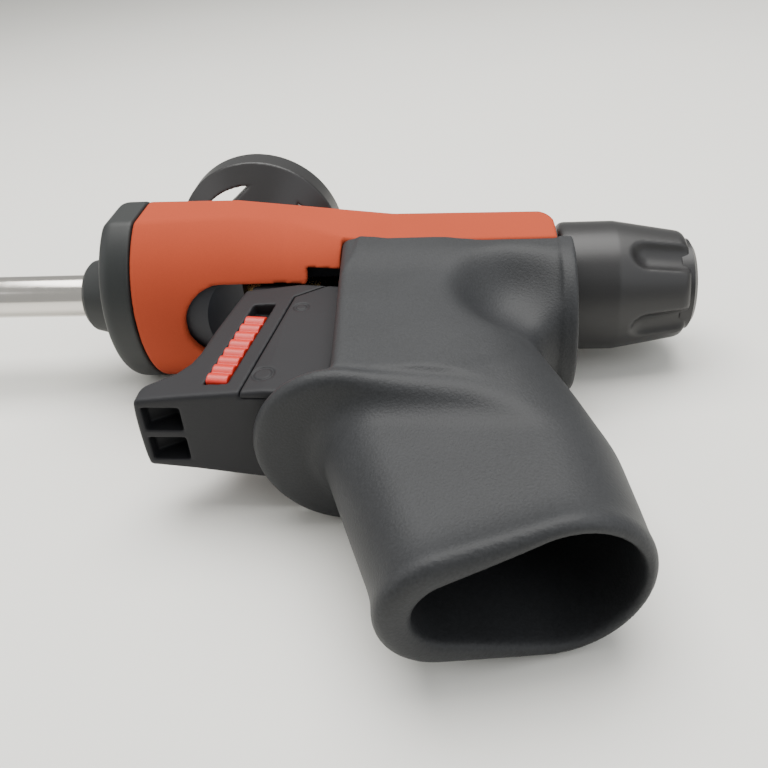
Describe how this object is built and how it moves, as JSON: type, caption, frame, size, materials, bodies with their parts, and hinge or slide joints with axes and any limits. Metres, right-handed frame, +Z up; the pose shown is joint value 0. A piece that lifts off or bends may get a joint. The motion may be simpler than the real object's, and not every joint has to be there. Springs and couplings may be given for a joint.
{
  "type": "foam dispensing gun",
  "caption": "Hand-held foam gun with a long barrel, pistol grip, sprung trigger, lock slider, fluted flow knob and a round socket for a foam can on top.",
  "frame": {"origin": "the middle of the bounding box, on the surface that the gun lies on", "axes": "+X from the nozzle towards the knob along the barrel, +Y from the grip towards the can socket, +Z up, out of the gun's left side"},
  "size_m": [0.337, 0.1592, 0.0508],
  "materials": {
    "grey_plastic": "fine spark-eroded grain",
    "orange_plastic": "matte",
    "black_plastic": "satin",
    "trigger_plastic": "matte",
    "frame_plastic": "matte",
    "red_plastic": "satin",
    "steel_tube": "polished",
    "steel": "machined",
    "brass": "machined",
    "spring_steel": "drawn wire",
    "seal_rubber": "matte",
    "screw_steel": "zinc plated"
  },
  "bodies": {
    "housing": {"barrel_tube": "steel_tube", "nozzle": "brass", "barrel_nut": "brass", "barrel_seal": "seal_rubber", "valve_block": "brass", "needle_seal": "seal_rubber", "seal_nut": "brass", "front_collar": "black_plastic", "nose_ring": "black_plastic", "body_shell": "orange_plastic", "housing_screws": "screw_steel", "handle": "grey_plastic", "inner_frame": "frame_plastic", "adapter_neck": "brass", "ball_seat": "brass", "can_gasket": "seal_rubber", "can_basket": "black_plastic", "ball_spring": "spring_steel", "trigger_pin": "steel", "spring_seat": "steel", "return_spring": "spring_steel", "rear_guide": "brass"},
    "trigger": {"trigger": "trigger_plastic", "trigger_cover": "trigger_plastic"},
    "lock_slider": {"lock_slider": "red_plastic"},
    "needle": {"needle_rod": "steel", "needle_collar": "brass"},
    "adjuster": {"adjuster_stem": "steel"},
    "knob": {"knob": "black_plastic", "knob_cap": "black_plastic"},
    "inlet_ball": {"inlet_ball": "steel"}
  },
  "joints": [
    {"name": "trigger_pull", "type": "hinge", "parent": "housing", "child": "trigger", "pos_m": [0.0615, 0.05097, 0.0254], "axis": [0, 0, 1], "range_deg": [0, 12], "stiffness_Nm_per_rad": 0.25, "springref_deg": -34.38},
    {"name": "needle_slide", "type": "slide", "parent": "housing", "child": "needle", "axis": [1, 0, 0], "range_m": [0, 0.0028], "deforming": ["return_spring"]},
    {"name": "lock_slide", "type": "slide", "parent": "trigger", "child": "lock_slider", "axis": [0.134, 0.991, 0], "range_m": [0, 0.005]},
    {"name": "adjuster_travel", "type": "slide", "parent": "housing", "child": "adjuster", "axis": [1, 0, 0], "range_m": [0, 0.00451]},
    {"name": "knob_turn", "type": "hinge", "parent": "adjuster", "child": "knob", "pos_m": [0.1325, 0.03797, 0.0254], "axis": [1, 0, 0], "range_deg": [0, 1080]},
    {"name": "inlet_ball_lift", "type": "slide", "parent": "housing", "child": "inlet_ball", "axis": [0, -1, 0], "range_m": [0, 0.0015], "stiffness_N_per_m": 400, "springref_m": -0.004, "deforming": ["ball_spring"]}
  ],
  "couplings": [
    {"joint": "needle_slide", "follows": "trigger_pull", "m_per_rad": 0.013},
    {"joint": "adjuster_travel", "follows": "knob_turn", "m_per_rad": 0.00023873}
  ]
}
